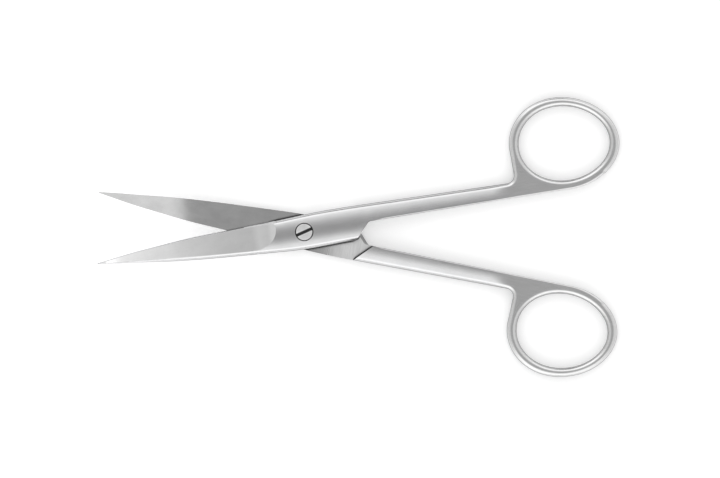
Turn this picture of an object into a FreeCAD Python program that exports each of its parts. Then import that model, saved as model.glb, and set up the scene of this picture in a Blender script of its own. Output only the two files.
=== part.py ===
import FreeCAD, Part
import os
from math import cos, sin, tan, atan2, radians, sqrt, hypot
from FreeCAD import Vector as V

os.makedirs("parts", exist_ok=True)

# Precision scissors, curved blades, ring handles. Millimetres, +Z up.
# X runs from the tips to the rings, Y towards the thumb ring.
# Each half is made in its closed position and then turned about the pivot.

# Whole object
HALF_OPEN = 9.8            # turn of each half from closed, degrees
MID = 2.05                 # height of the plane where the halves meet
RIDE = 0.05                # gap between the two riding faces

# Bend of the blades: the inner faces are bowls about the pivot
BEND_START = 8.0
BEND_RADIUS = 180.0

# Forging: crowned bar, half heights above the middle plane
CROWN_RADIUS = 16.0
BAR_HALF = 2.11            # at the ridge of the crown
SHANK_END_HALF = 1.78
RING_HALF = 1.5
TAPER_FROM = 12.0
RIM_OUTER = 1.0            # rounding of the outer edges
RIM_INNER = 0.35           # rounding of the edges that face each other
RIM_RING = 1.15            # outside of the ring and its hole
RIM_HOLE = 1.1

# Plan of the bar, closed position: x, y
OUTER_EDGE = [(-8.0, 3.98), (-4.0, 4.23), (0.0, 4.5), (4.0, 4.72),
              (9.0, 4.84), (20.0, 4.82), (36.0, 4.7), (56.5, 4.55)]
SPINE_EDGE = [(-8.0, -4.26), (-4.0, -4.46), (0.0, -4.52), (6.0, -4.37),
              (12.0, -4.18), (18.5, -4.0)]
SHANK_START = 18.3
INNER_Y = 0.16             # inner edge of the shank where it starts
JOIN_X = -4.0              # where blade and bar meet

# Finger ring
RING_CENTRE = (70.75, 12.67)
RING_OUT = (14.5, 12.1)
RING_OUT_TURN = -8.0
RING_FROM = -86.0          # the outside of the ring runs from here
RING_TO = 186.5            # to here, degrees
RING_IN = (11.9, 9.68)
RING_IN_TURN = -6.0
RING_EGG = 0.05            # fuller towards the tips
FINGER_LONGER = 0.4        # the finger half's ring lies this much further out
CORNER = 2.0               # concave corner between shank and ring
RIM_EARLY = 4.0            # the rounding below the web grows from this far before the ring's centre
FADE_LENGTH = 7.0          # over this length the crown fades into the flat web
FADE_SHORT = 2.25          # and it has faded this far before the ring
PLATE_LAP = 8.0            # the ring plate is drawn this far into the shank and cut back
FADE_TO = RING_CENTRE[0] - RING_OUT[0] - FADE_SHORT

# Joint: shoulder of one half and step of the other
SHOULDER = [(13.2, -4.16), (17.0, -0.03)]
SHOULDER_DRAFT = 0.75      # the shoulder leans in by this at the riding face
SHOULDER_FILLET = 1.2
STEP_OUT = (14.05, 4.77)
STEP_IN = (17.95, 0.73)

# Blade
EDGE = [(-4.0, 4.23), (-9.0, 3.93), (-15.0, 3.68), (-22.0, 3.34), (-30.0, 2.94),
        (-38.0, 2.2), (-45.0, 1.48), (-51.0, 0.62), (-54.6, 0.09)]
SPINE = [(-4.0, 4.46), (-9.0, 4.2), (-15.0, 3.86), (-22.0, 3.46), (-30.0, 2.9),
         (-38.0, 2.14), (-45.0, 1.3), (-51.0, 0.62), (-54.6, 0.09)]
TIP_X = -54.6
BLADE_TIP_HALF = 0.68      # blank thickness at the tip
RIM_SPINE = 1.0            # rounding of the back of the blade
EDGE_THICK = 0.8           # under the ground face at the root
EDGE_THICK_TIP = 0.42
GRIND_BACK = 0.95          # the ground face stops this far from the back
GRIND_PAST_TIP = 3.4       # the grinding surface is drawn this far past the tip
GRIND_REACH = 8.0          # and this far to both sides
RUNOUT_AT = -14.0
RUNOUT_RADIUS = 25.0
BEVEL_SLOPE = 0.45         # run per rise of the cutting bevel
BEVEL_FROM = -9.0          # towards the pivot the bevel runs out of the edge
BEVEL_RUNOUT = 2.5         # over this length
BEVEL_PAST_TIP = 1.4
BLANK_FOOT = 0.9           # the blade blank reaches this far past its inner face
RIM_SHARE = 0.55           # a blade rounding takes at most this share of the half width
RIM_DEPTH = 0.8            # and this share of the thickness

# Screw
HEAD_D = 4.3
RECESS_D = 4.8
HEAD_H = 1.0
SEAT_GAP = 0.03            # running gap under the head
NECK_D = 3.0
NECK_CLEAR = 0.08
THREAD_D = 2.6
SLOT_W = 0.7
SLOT_DEEP = 0.55
SLOT_ANGLE = 25.3
HEAD_BREAK = 0.1

# Cutting solids reach this far past the body
PAST = 6.0
BEYOND = 70.0              # past the whole half
CLEAR = 0.3
MERGE = 0.002              # surfaces this close are joined
FLAT = 0.0005              # least share of the crown that is still drawn as an arc


# Shared helpers
def rise(r):
    """Height of the bowl over the middle plane at distance r from the pivot."""
    d = max(0.0, r - BEND_START)
    return BEND_RADIUS - sqrt(BEND_RADIUS ** 2 - d ** 2)


def smooth(t):
    t = min(1.0, max(0.0, t))
    return t * t * (3.0 - 2.0 * t)


def curve(points):
    c = Part.BSplineCurve()
    c.interpolate([V(x, y, 0) for x, y in points])
    return c


def stations(start, end, steps):
    return [start + (end - start) * i / steps for i in range(steps + 1)]


def arc_from(p, t, q):
    """Arc that leaves p in the direction t and ends at q."""
    chord = q - p
    u = (t + V(chord).normalize()).normalize()
    mid = p + u * (chord.Length ** 2 / (2.0 * u.dot(chord)))
    return Part.Arc(p, mid, q).toShape()


def two_arcs(p, t, q, u):
    """Two tangent arcs from p, leaving along t, to q, arriving along u."""
    v = q - p
    s = t + u
    k = 2.0 * (1.0 - t.dot(u))
    d = (sqrt(v.dot(s) ** 2 + k * v.dot(v)) - v.dot(s)) / k
    m = (p + q + (t - u) * d) * 0.5
    first = arc_from(p, t, m)
    along = m - p
    leave = along * (2.0 * along.dot(t) / along.dot(along)) - t
    return [first, arc_from(m, leave, q)]


def smooth_line(points, ways):
    """Tangent arcs through points with given directions."""
    out = []
    for i in range(len(points) - 1):
        out += two_arcs(points[i], ways[i], points[i + 1], ways[i + 1])
    return out


def across(points, x):
    """Value of a plan curve at x."""
    c = curve(points)
    a = c.FirstParameter
    b = c.LastParameter
    up = c.value(b).x > c.value(a).x
    for _ in range(50):
        m = (a + b) / 2
        if (c.value(m).x < x) == up:
            a = m
        else:
            b = m
    return c.value(a).y


def line(p, q):
    return Part.makeLine(V(*p), V(*q))


def prism(points, z0, z1):
    pts = [V(x, y, z0) for x, y in points]
    return Part.Face(Part.makePolygon(pts + pts[:1])).extrude(V(0, 0, z1 - z0))


def loft(wires):
    return Part.makeLoft(wires, True, False)


# Sections of the forging
def bar_half(x):
    if x <= TAPER_FROM:
        return BAR_HALF
    fade_from = FADE_TO - FADE_LENGTH
    if x <= fade_from:
        t = (x - TAPER_FROM) / (fade_from - TAPER_FROM)
        return BAR_HALF + (SHANK_END_HALF - BAR_HALF) * t
    s = smooth((x - fade_from) / FADE_LENGTH)
    return SHANK_END_HALF + (RING_HALF - SHANK_END_HALF) * s


def crown_radius(x):
    fade = smooth((FADE_TO - x) / FADE_LENGTH)
    return CROWN_RADIUS / max(fade, FLAT)


def rim_arc(y_wall, r, top, crown, sign):
    """Centre height and touching point of a rim rounding, about y = 0."""
    yc = y_wall - sign * r
    h = sqrt((crown - r) ** 2 - yc ** 2)
    zc = top - crown + h
    k = crown / (crown - r)
    return yc, zc, (yc * k, top - crown + h * k)


def skin_edges(x, y_in, y_out, r_in, r_out, top, crown, base, side, foot):
    """Wall, rim, crown, rim, wall of one side of a section."""
    yi, zi, ti = rim_arc(y_in, r_in, top, crown, -1)
    yo, zo, to = rim_arc(y_out, r_out, top, crown, 1)

    def p(y, z):
        return V(x, side * y, base + side * z)

    def arc_mid(yc, zc, r, t, wall):
        dy = (t[0] - yc) + (wall - yc)
        dz = (t[1] - zc)
        d = hypot(dy, dz)
        return p(yc + r * dy / d, zc + r * dz / d)

    ym = (ti[0] + to[0]) / 2
    zm = top - crown + sqrt(crown ** 2 - ym ** 2)
    out = [Part.makeLine(p(y_in, foot), p(y_in, zi))]
    out.append(Part.Arc(p(y_in, zi), arc_mid(yi, zi, r_in, ti, y_in), p(*ti)).toShape())
    out.append(Part.Arc(p(*ti), p(ym, zm), p(*to)).toShape())
    out.append(Part.Arc(p(*to), arc_mid(yo, zo, r_out, to, y_out), p(y_out, zo)).toShape())
    out.append(Part.makeLine(p(y_out, zo), p(y_out, foot)))
    return out


def full_section(x, y_in, y_out, r_in, r_out):
    """Closed section of the bar, crowned on both faces."""
    up = skin_edges(x, y_in, y_out, r_in, r_out, bar_half(x), crown_radius(x), MID, 1, 0.0)
    down = [e.mirror(V(0, 0, MID), V(0, 0, 1)) for e in up]
    return Part.Wire(Part.__sortEdges__(up + down))


def inner_y(x, shift):
    low = egg(RING_OUT, RING_OUT_TURN, RING_FROM)
    t = (x - SHANK_START) / (low[0] + shift - SHANK_START)
    return INNER_Y + (low[1] - INNER_Y) * t


def joint_bar():
    xs = stations(JOIN_X, SHANK_START, 4)
    return loft([full_section(x, across(SPINE_EDGE, x), across(OUTER_EDGE, x),
                              RIM_OUTER, RIM_OUTER) for x in xs])


def shank_bar(shift):
    xs = stations(SHANK_START, FADE_TO, 12)
    return loft([full_section(x, inner_y(x, shift), across(OUTER_EDGE, x),
                              RIM_INNER, RIM_OUTER) for x in xs])


# Finger ring with its web
def egg(size, turn, degrees):
    """Point of a slightly egg-shaped oval about the ring centre."""
    t = radians(degrees)
    x = size[0] * cos(t)
    y = size[1] * (1.0 - RING_EGG * cos(t)) * sin(t)
    a = radians(turn)
    return (RING_CENTRE[0] + x * cos(a) - y * sin(a),
            RING_CENTRE[1] + x * sin(a) + y * cos(a))


def egg_arcs(size, turn, angles, shift, first=None, last=None):
    """Two tangent arcs between each two angles of the oval; first and last are end directions."""
    step = 0.5
    points = []
    ways = []
    for d in angles:
        x, y = egg(size, turn, d)
        points.append(V(x + shift, y, 0))
        ways.append((V(*egg(size, turn, d + step), 0) - V(*egg(size, turn, d - step), 0)).normalize())
    ways[0] = first or ways[0]
    ways[-1] = last or ways[-1]
    return smooth_line(points, ways)


def ring_plan(shift):
    """Closed outline of web and ring, moved out by shift."""
    low = V(*egg(RING_OUT, RING_OUT_TURN, RING_FROM), 0) + V(shift, 0, 0)
    end = V(*egg(RING_OUT, RING_OUT_TURN, RING_TO), 0) + V(shift, 0, 0)
    corner = V(OUTER_EDGE[-1][0] + shift, OUTER_EDGE[-1][1], 0)
    along = (low - V(SHANK_START, INNER_Y, 0)).normalize()
    down = (corner - end).normalize()
    edges = egg_arcs(RING_OUT, RING_OUT_TURN, stations(RING_FROM, RING_TO, 6), shift, along, down)
    y = across(OUTER_EDGE, FADE_TO)
    y -= (corner.y - y) * PLATE_LAP / (corner.x - FADE_TO)
    start = FADE_TO - PLATE_LAP
    wall = V(start, inner_y(start, shift), 0)
    back = V(start, y, 0)
    edges.append(Part.makeLine(wall, low))
    edges.append(Part.makeLine(end, corner))
    edges.append(Part.makeLine(corner, back))
    edges.append(Part.makeLine(back, wall))
    return Part.Wire(Part.__sortEdges__(edges))


def ring_blank(shift):
    """Web and ring as a flat plate with the hole, corners in plan rounded."""
    body = Part.Face(ring_plan(shift)).extrude(V(0, 0, 2 * RING_HALF))
    body.translate(V(0, 0, MID - RING_HALF))
    corner = V(OUTER_EDGE[-1][0] + shift, OUTER_EDGE[-1][1], MID)
    upright = [e for e in body.Edges if (e.CenterOfMass - corner).Length < 0.1]
    body = body.makeFillet(CORNER, upright)
    turns = stations(0, 360, 6)
    hole = Part.Wire(Part.__sortEdges__(egg_arcs(RING_IN, RING_IN_TURN, turns, shift)))
    return body.cut(Part.Face(hole).extrude(V(0, 0, PAST)))


def rim_at(p):
    """Rounding of the outline at a point of it."""
    middle = OUTER_EDGE[-1][1] / 2
    past_corner = p.y > OUTER_EDGE[-1][1] + 1.5 * CORNER
    if past_corner or (p.y > middle and p.x > RING_CENTRE[0]):
        return RIM_RING
    if p.y > middle:
        return RIM_OUTER
    t = smooth((p.x - RING_CENTRE[0] + RIM_EARLY) / (2 * RING_OUT[0]))
    return RIM_INNER + (RIM_RING - RIM_INNER) * t


def in_hole(p, shift):
    return hypot((p.x - RING_CENTRE[0] - shift) / RING_OUT[0], (p.y - RING_CENTRE[1]) / RING_OUT[1]) < 0.9


def ring_body(shift):
    blank = ring_blank(shift)
    rims = []
    for i, e in enumerate(blank.Edges):
        a = e.valueAt(e.FirstParameter)
        b = e.valueAt(e.LastParameter)
        m = e.valueAt((e.FirstParameter + e.LastParameter) / 2)
        if abs(a.z - b.z) > 0.1 or (abs(a.x - FADE_TO) < 0.01 and abs(b.x - FADE_TO) < 0.01):
            continue
        if in_hole(m, shift):
            rims.append((i + 1, RIM_HOLE, RIM_HOLE))
        else:
            rims.append((i + 1, rim_at(a), rim_at(b)))
    doc = FreeCAD.newDocument("ring")
    base = doc.addObject("Part::Feature", "blank")
    base.Shape = blank
    f = doc.addObject("Part::Fillet", "rims")
    f.Base = base
    f.Edges = rims
    doc.recompute()
    return f.Shape.copy()


# Blade
def blade_top(x):
    """Thickness of the blank over its inner face."""
    t = max(0.0, (-x - BEND_START) / (-TIP_X - BEND_START))
    return BAR_HALF + (BLADE_TIP_HALF - BAR_HALF) * t


def blade_blank(side):
    """Crowned and rounded blank of the blade, bent upwards."""
    wires = []
    for x in stations(JOIN_X, TIP_X, 10):
        w_in = across(SPINE, x)
        w_out = across(EDGE, x)
        top = blade_top(x)
        r_in = min(RIM_SPINE, RIM_SHARE * w_in, RIM_DEPTH * top)
        r_out = min(RIM_OUTER, RIM_SHARE * w_out, RIM_DEPTH * top)
        base = MID + rise(-x)
        edges = skin_edges(x, -w_in, w_out, r_in, r_out, top, CROWN_RADIUS, base, side, -BLANK_FOOT)
        foot = base - side * BLANK_FOOT
        edges.append(line((x, -side * w_in, foot), (x, side * w_out, foot)))
        wires.append(Part.Wire(Part.__sortEdges__(edges)))
    return loft(wires)


def ground_height(x, y):
    """Ground outer face over the inner face: falls from the back to the edge."""
    x = min(x, JOIN_X)
    w_in = max(across(SPINE, max(x, TIP_X)), 0.3)
    w_out = across(EDGE, max(x, TIP_X))
    back = max(w_in - min(GRIND_BACK, RIM_SHARE * w_in), 0.1)
    high = blade_top(x) - back * back / (2.0 * CROWN_RADIUS)
    t = min(1.0, max(0.0, (RUNOUT_AT - x) / (RUNOUT_AT - TIP_X)))
    low = EDGE_THICK + (EDGE_THICK_TIP - EDGE_THICK) * t
    z = high + (low - high) * (y + back) / (back + w_out)
    if x > RUNOUT_AT:
        z += (x - RUNOUT_AT) ** 2 / (2.0 * RUNOUT_RADIUS)
    return z


def grinding_tool(side):
    """Solid outside the ground face of the blade."""
    xs = stations(TIP_X - GRIND_PAST_TIP, JOIN_X, 27)
    ys = stations(-GRIND_REACH, GRIND_REACH, 3)
    grid = []
    for x in xs:
        grid.append([V(x, side * y, MID + rise(-x) + side * ground_height(x, y)) for y in ys])
    s = Part.BSplineSurface()
    s.interpolate(grid)
    return s.toShape().extrude(V(0, 0, side * PAST))


def bevel_tool(side):
    """Solid outside the narrow cutting bevel."""
    wires = []
    low = -BLANK_FOOT
    high = BAR_HALF + CLEAR
    for x in [BEVEL_FROM + BEVEL_RUNOUT] + stations(BEVEL_FROM, TIP_X - BEVEL_PAST_TIP, 7):
        y = across(EDGE, max(x, TIP_X)) + CLEAR * max(0.0, x - BEVEL_FROM)
        z = MID + rise(-x)
        pts = [(y - low * BEVEL_SLOPE, low), (y + PAST, low), (y + PAST, high)]
        pts.append((y - high * BEVEL_SLOPE, high))
        p = [V(x, side * a, z + side * b) for a, b in pts]
        wires.append(Part.makePolygon(p + p[:1]))
    return loft(wires)


def bowl(gap):
    """Closed profile under the inner faces, turned about the pivot."""
    z = MID + gap
    end = PAST - TIP_X
    mid = (BEND_START + end) / 2
    top = [V(BEND_START, 0, z), V(mid, 0, z + rise(mid)), V(end, 0, z + rise(end))]
    edges = [line((0, 0, -PAST), (0, 0, z)), line((0, 0, z), (BEND_START, 0, z))]
    edges.append(Part.Arc(*top).toShape())
    edges.append(Part.makeLine(top[-1], V(end, 0, -PAST)))
    edges.append(line((end, 0, -PAST), (0, 0, -PAST)))
    return Part.Face(Part.Wire(edges)).revolve(V(0, 0, 0), V(0, 0, 1), 360)


def joint_side(side):
    """Plan area from the tips to the step of one half."""
    run = (STEP_OUT[0] - STEP_IN[0]) / (STEP_OUT[1] - STEP_IN[1])
    wide = 1.5 * PAST
    x1 = STEP_IN[0] + run * (wide - STEP_IN[1])
    x0 = STEP_IN[0] + run * (-wide - STEP_IN[1])
    pts = [(x0, -wide), (x1, wide), (-BEYOND, wide), (-BEYOND, -wide)]
    return prism([(x, side * y) for x, y in pts], -2 * PAST, 3 * PAST)


def shoulder_wire(z):
    """Outline cut away under the shank beyond the sloping shoulder, at height z."""
    (x0, y0), (x1, y1) = SHOULDER
    t = V(x1 - x0, y1 - y0, 0).normalize()
    inward = V(-t.y, t.x, 0) * (SHOULDER_DRAFT * (1.0 - (z - MID) / BAR_HALF))
    start = V(x0, y0, z) + inward - t * (PAST / 2)
    corner = start + t * ((INNER_Y - start.y) / t.y)
    reach = SHOULDER_FILLET * tan(atan2(t.y, t.x) / 2.0)
    b = corner - t * reach
    c = corner + V(reach, 0, 0)
    centre = c - V(0, SHOULDER_FILLET, 0)
    mid = centre + (corner - centre).normalize() * SHOULDER_FILLET
    d = V(SHANK_START, INNER_Y, z)
    e = V(SHANK_START, -2 * PAST, z)
    f = V(start.x, -2 * PAST, z)
    edges = [Part.makeLine(start, b), Part.Arc(b, mid, c).toShape()]
    edges += [Part.makeLine(p, q) for p, q in ((c, d), (d, e), (e, f), (f, start))]
    return Part.Wire(edges)


def shoulder_tool():
    return Part.makeLoft([shoulder_wire(-2.0), shoulder_wire(2 * MID + 2.0)], True, True)


# Halves
def handle(side):
    """Joint, shank and ring; the lower half is the upper one rolled over."""
    shift = FINGER_LONGER if side < 0 else 0.0
    joined = Part.makeBox(BEYOND, 2 * BEYOND, BEYOND, V(FADE_TO - BEYOND, -BEYOND, -PAST))
    ring = ring_body(shift).cut(joined)
    body = joint_bar().fuse([shank_bar(shift), ring], MERGE)
    body = body.cut(shoulder_tool())
    if side < 0:
        body.rotate(V(0, 0, MID), V(1, 0, 0), 180)
    return body


def blade(side):
    body = blade_blank(side).cut(grinding_tool(side))
    return body.cut(bevel_tool(side))


def inner_cut(body, side):
    """Cut the riding face, the bowl and the step."""
    area = joint_side(side)
    if side > 0:
        return body.cut(bowl(RIDE / 2).common(area))
    return body.cut(area.cut(bowl(-RIDE / 2)))


def screw():
    z = MID + BAR_HALF
    neck_top = z - HEAD_H
    head = Part.makeCylinder(HEAD_D / 2, HEAD_H, V(0, 0, neck_top))
    rim = [e for e in head.Edges if abs(e.BoundBox.ZMin - z) < 1e-6 and len(e.Vertexes) == 1]
    head = head.makeChamfer(HEAD_BREAK, rim)
    slot = Part.makeBox(2 * HEAD_D, SLOT_W, HEAD_H, V(-HEAD_D, -SLOT_W / 2, z - SLOT_DEEP))
    slot.rotate(V(0, 0, 0), V(0, 0, 1), SLOT_ANGLE)
    shaft = Part.makeCylinder(NECK_D / 2, neck_top - MID + RIDE / 2, V(0, 0, MID - RIDE / 2))
    thread = Part.makeCylinder(THREAD_D / 2, MID - RIDE / 2)
    return head.cut(slot).fuse([shaft, thread]).removeSplitter()


def upper_half():
    body = inner_cut(handle(1).fuse(blade(1)), 1)
    z = MID + BAR_HALF - HEAD_H - SEAT_GAP
    body = body.cut(Part.makeCylinder(RECESS_D / 2, PAST, V(0, 0, z)))
    body = body.cut(Part.makeCylinder(NECK_D / 2 + NECK_CLEAR, PAST))
    return body.removeSplitter()


def lower_half():
    body = inner_cut(handle(-1).fuse(blade(-1)), -1)
    body = body.cut(Part.makeCylinder(THREAD_D / 2, PAST, V(0, 0, -1)))
    ground_flat = Part.makeBox(BEYOND, BEYOND, PAST, V(-BEYOND / 2, -BEYOND / 2, -PAST))
    return body.cut(ground_flat).removeSplitter()


def write(name, shape, turn=0.0):
    shape.rotate(V(0, 0, 0), V(0, 0, 1), turn)
    shape.Solids[0].exportStep("parts/" + name + ".step")


if __name__ == "__main__":
    write("thumb_half", upper_half(), HALF_OPEN)
    write("finger_half", lower_half(), -HALF_OPEN)
    write("pivot_screw", screw())
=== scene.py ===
import math

import bpy
import bmesh
import numpy as np
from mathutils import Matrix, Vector
from mathutils.geometry import delaunay_2d_cdt


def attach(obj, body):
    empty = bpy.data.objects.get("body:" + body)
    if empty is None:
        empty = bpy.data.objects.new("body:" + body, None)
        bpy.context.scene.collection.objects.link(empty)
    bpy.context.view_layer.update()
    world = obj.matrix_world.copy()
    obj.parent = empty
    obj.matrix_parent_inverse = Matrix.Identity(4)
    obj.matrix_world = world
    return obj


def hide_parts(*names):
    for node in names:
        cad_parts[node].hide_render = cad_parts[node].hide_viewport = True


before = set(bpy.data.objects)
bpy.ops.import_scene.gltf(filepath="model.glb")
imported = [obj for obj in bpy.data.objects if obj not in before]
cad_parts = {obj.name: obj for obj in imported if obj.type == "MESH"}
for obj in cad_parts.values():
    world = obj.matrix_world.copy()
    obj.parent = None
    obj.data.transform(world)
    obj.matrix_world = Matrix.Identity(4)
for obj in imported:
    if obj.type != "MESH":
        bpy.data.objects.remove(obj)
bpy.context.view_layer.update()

MM = 0.001

# Sizes of a half in millimetres, closed, tip at -X and outer edge at +Y, heights over the middle plane
HALF_OPEN = 9.8                 # turn of each half from closed, degrees
MID = 2.05                      # height of the plane where the halves meet
RIDE = 0.05                     # gap between the riding faces
BEND_START = 8.0                # the blades bend up from this far before the pivot
BEND_RADIUS = 180.0
TIP_X = -54.6
JOIN_X = -4.0                   # the blade ends and the joint begins
SHANK_START = 18.3
INNER_Y = 0.16                  # inner edge at the start of the shank
OUTER_EDGE = [(-8.0, 3.98), (-4.0, 4.23), (0.0, 4.5), (4.0, 4.72),
              (9.0, 4.84), (20.0, 4.82), (36.0, 4.7), (56.5, 4.55)]
SPINE_EDGE = [(-8.0, -4.26), (-4.0, -4.46), (0.0, -4.52), (6.0, -4.37),
              (12.0, -4.18), (18.5, -4.0)]
EDGE = [(-54.6, 0.09), (-51.0, 0.62), (-45.0, 1.48), (-38.0, 2.2), (-30.0, 2.94),
        (-22.0, 3.34), (-15.0, 3.68), (-9.0, 3.93), (-4.0, 4.23)]
SPINE = [(-54.6, -0.09), (-51.0, -0.62), (-45.0, -1.3), (-38.0, -2.14), (-30.0, -2.9),
         (-22.0, -3.46), (-15.0, -3.86), (-9.0, -4.2), (-4.0, -4.46)]

# Half thickness from the tip to the ring
CROWN_RADIUS = 16.0
BAR_HALF = 2.11
SHANK_END_HALF = 1.78
RING_HALF = 1.5
BLADE_TIP_HALF = 0.68
TAPER_FROM = 12.0
FADE_FROM = 49.5                # the crown flattens from here
FADE_TO = 57.0
CROWN_REACH = 4.7               # the crown's fall ends this far off the middle line, under the web

# Ring: egg-shaped outside and hole, each an ellipse of two half sizes turned by some degrees
RING_CENTRE = (70.75, 12.67)
RING_OUT = (14.5, 12.1)
RING_OUT_TURN = -8.0
RING_FROM = -86.0               # ends of the free outside, degrees
RING_TO = 186.5
RING_IN = (11.9, 9.68)
RING_IN_TURN = -6.0
RING_EGG = 0.05
FINGER_LONGER = 0.4             # the finger half's ring lies this much further out
RUN_FROM = 50.0                 # the outer edge runs straight from here to the ring's corner
CORNER = 2.0                    # radius in that corner

# Joint: shoulder line from the spine up to the inner edge, step line from the outer to the inner edge
SHOULDER = [(13.2, -4.16), (17.0, -0.03)]
SHOULDER_DRAFT = 0.75
SHOULDER_FILLET = 1.2
SHOULDER_RUN = 2.0              # length of inner edge that the fillet starts from
LAND_X = (-6, 17.4)             # the flat under the finger half's joint lies within this stretch
STEP_OUT = (14.05, 4.77)
STEP_IN = (17.95, 0.73)

# Rims
RIM_OUTER = 1.0
RIM_RING = 1.15
RIM_INNER = 0.35
RIM_HOLE = 1.1
RIM_EARLY = 4.0                 # the inner rim grows from this far before the ring's centre
RIM_GROWS = (5.0, 8.0)          # the outer rim grows from this far off the middle line, over this length
LOW_SIDE = 3.2                  # the inner edge lies below this distance from the middle line
RIM_SHARE = 0.42                # most that a rim takes of the blade's half width
RIM_DEPTH = 0.8                 # and of its height
RIM_EASE = 3.0                  # the inner rim fades out over this length before the step
EASE_POINTS = 20                # number of points at the end of the lead that this concerns
SPINE_PAST = 3.0                # the spine's rim line runs on past the shoulder

# Blade
GRIND_BACK = 0.95               # the ground face starts this far inside the spine
EDGE_THICK = 0.8
EDGE_THICK_TIP = 0.42
RUNOUT_AT = -14.0
RUNOUT_RADIUS = 25.0
LEAST_HALF = 0.3                # the grind counts at least this half width, at the tip
LEAST_BACK = 0.1                # and starts at least this far towards the spine
LEAST_THICK = 0.01              # least thickness over the inner face
BEVEL_SLOPE = 0.45
BEVEL_FROM = -9.0
BEVEL_RUNOUT = 0.2

# Screw
HEAD_D = 4.3
RECESS_D = 4.8
HEAD_H = 1.0
HEAD_BREAK = 0.1
HEAD_FOOT = 0.05
HEAD_LIT = 0.25                 # depth of the head's side that is bright, over the shade of the seat
SEAT_GAP = 0.03
NECK_D = 3.0
NECK_CLEAR = 0.08
THREAD_D = 2.6
SLOT_W = 0.8
SLOT_DEEP = 0.55
SLOT_ANGLE = 25.3
SLOT_BREAK = 0.03

# Meshing
STEP = 0.35                     # spacing along outlines
GRID = 0.45                     # spacing inside
ROW = 0.866                     # height of a row of equal-sided triangles
CLEAR_OF_LINES = 0.6            # share of the grid kept free beside lines
RIM_ANGLES = [8, 18, 28, 38, 48, 58, 68, 79, 90]
BLADE_LENGTH = JOIN_X - TIP_X   # rough lengths of the stretches, for the number of their points
JOINT_LENGTH = 18
SHANK_LENGTH = 40
RING_LENGTH = 75
HOLE_LENGTH = 68
BACK_LENGTH = 17                # spine from the shoulder to the blade
SPINE_LENGTH = 71
GUIDE_FROM = -9.5               # the outer rim has guide lines from here on
GUIDE_TIP = 0.8                 # lines end this far before the tip
STEP_PARTS = 12                 # parts of the step line
CHUNK = 2000                    # points measured at a time
WELD = 2e-7                     # metres
SLIVER_AREA = 2e-9              # square metres
CREASE_TURN = -20.0             # the crease runs along the blade up to here and then around this point
CREASE_TIP = 1.2                # the creases start this far from the tip
CREASE_REACH = (3.0, 15.0)      # nearest and furthest search around the turn
SHARP_ANGLE = 32                # degrees
TINY = 1e-6
FAR = 99.0                      # higher than any face

# Faces of a half, by number
(CROWN_FACE, GROUND_FACE, BEVEL_FACE, LAND_FACE, UNDER_FACE, INNER_FACE, STEP_FACE, WALL_FACE, HOLE_FACE,
 SEAT_FACE, SEAT_FLOOR, BORE_FACE) = range(12)


def spline(points):
    """Natural cubic spline through points, as a function of x."""
    x = np.array([p[0] for p in points])
    y = np.array([p[1] for p in points])
    h = np.diff(x)
    n = len(x)
    a = np.eye(n)
    b = np.zeros(n)
    for i in range(1, n - 1):
        a[i, i - 1:i + 2] = h[i - 1], 2 * (h[i - 1] + h[i]), h[i]
        b[i] = 6 * ((y[i + 1] - y[i]) / h[i] - (y[i] - y[i - 1]) / h[i - 1])
    m = np.linalg.solve(a, b)

    def value(at):
        at = np.asarray(at, float)
        i = np.clip(np.searchsorted(x, at) - 1, 0, n - 2)
        s = at - x[i]
        t = x[i + 1] - at
        return ((m[i] * t ** 3 + m[i + 1] * s ** 3) / (6 * h[i])
                + (y[i] / h[i] - m[i] * h[i] / 6) * t + (y[i + 1] / h[i] - m[i + 1] * h[i] / 6) * s)
    return value


def joined(blade_points, bar_points):
    """An edge line of a half: one spline along the blade and one along the bar."""
    on_blade = spline(blade_points)
    on_bar = spline(bar_points)
    end = bar_points[-1][0]

    def value(x):
        x = np.asarray(x, float)
        return np.where(x < JOIN_X, on_blade(np.clip(x, TIP_X, JOIN_X)), on_bar(np.clip(x, JOIN_X, end)))
    return value


y_outer = joined(EDGE, OUTER_EDGE)
y_spine = joined(SPINE, SPINE_EDGE)


def smooth(t):
    t = np.clip(t, 0, 1)
    return t * t * (3 - 2 * t)


def rise(r):
    """How far the bend lifts a point at distance r from the pivot."""
    d = np.maximum(0, r - BEND_START)
    return BEND_RADIUS - np.sqrt(BEND_RADIUS ** 2 - d ** 2)


def egg(size, turn, degrees):
    """Points of the ring's egg-shaped outlines."""
    t = np.radians(degrees)
    x = size[0] * np.cos(t)
    y = size[1] * (1 - RING_EGG * np.cos(t)) * np.sin(t)
    a = math.radians(turn)
    return np.stack([RING_CENTRE[0] + x * math.cos(a) - y * math.sin(a),
                     RING_CENTRE[1] + x * math.sin(a) + y * math.cos(a)], -1)


def steps(length):
    return max(2, int(math.ceil(length / STEP)))


def stretch(start, end, length):
    """Even values from start to end, without end, as many as the length needs."""
    return np.linspace(start, end, steps(length), endpoint=False)


def straight(p, q):
    """Points from p to q, without q."""
    n = steps(np.linalg.norm(q - p))
    return p + (q - p) * (np.arange(n)[:, None] / n)


def fillet(p, corner, q, radius, n):
    """Arc of n points in the corner of two lines, with both ends."""
    a = (p - corner) / np.linalg.norm(p - corner)
    b = (q - corner) / np.linalg.norm(q - corner)
    half = math.acos(np.clip(a @ b, -1, 1)) / 2
    start = corner + a * radius / math.tan(half)
    end = corner + b * radius / math.tan(half)
    centre = corner + (a + b) / np.linalg.norm(a + b) * radius / math.sin(half)
    u = start - centre
    v = end - centre
    turn = math.atan2(u[0] * v[1] - u[1] * v[0], u @ v)
    w = (turn * np.arange(n) / (n - 1))[:, None]
    return centre + u * np.cos(w) + np.array([-u[1], u[0]]) * np.sin(w)


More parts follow.
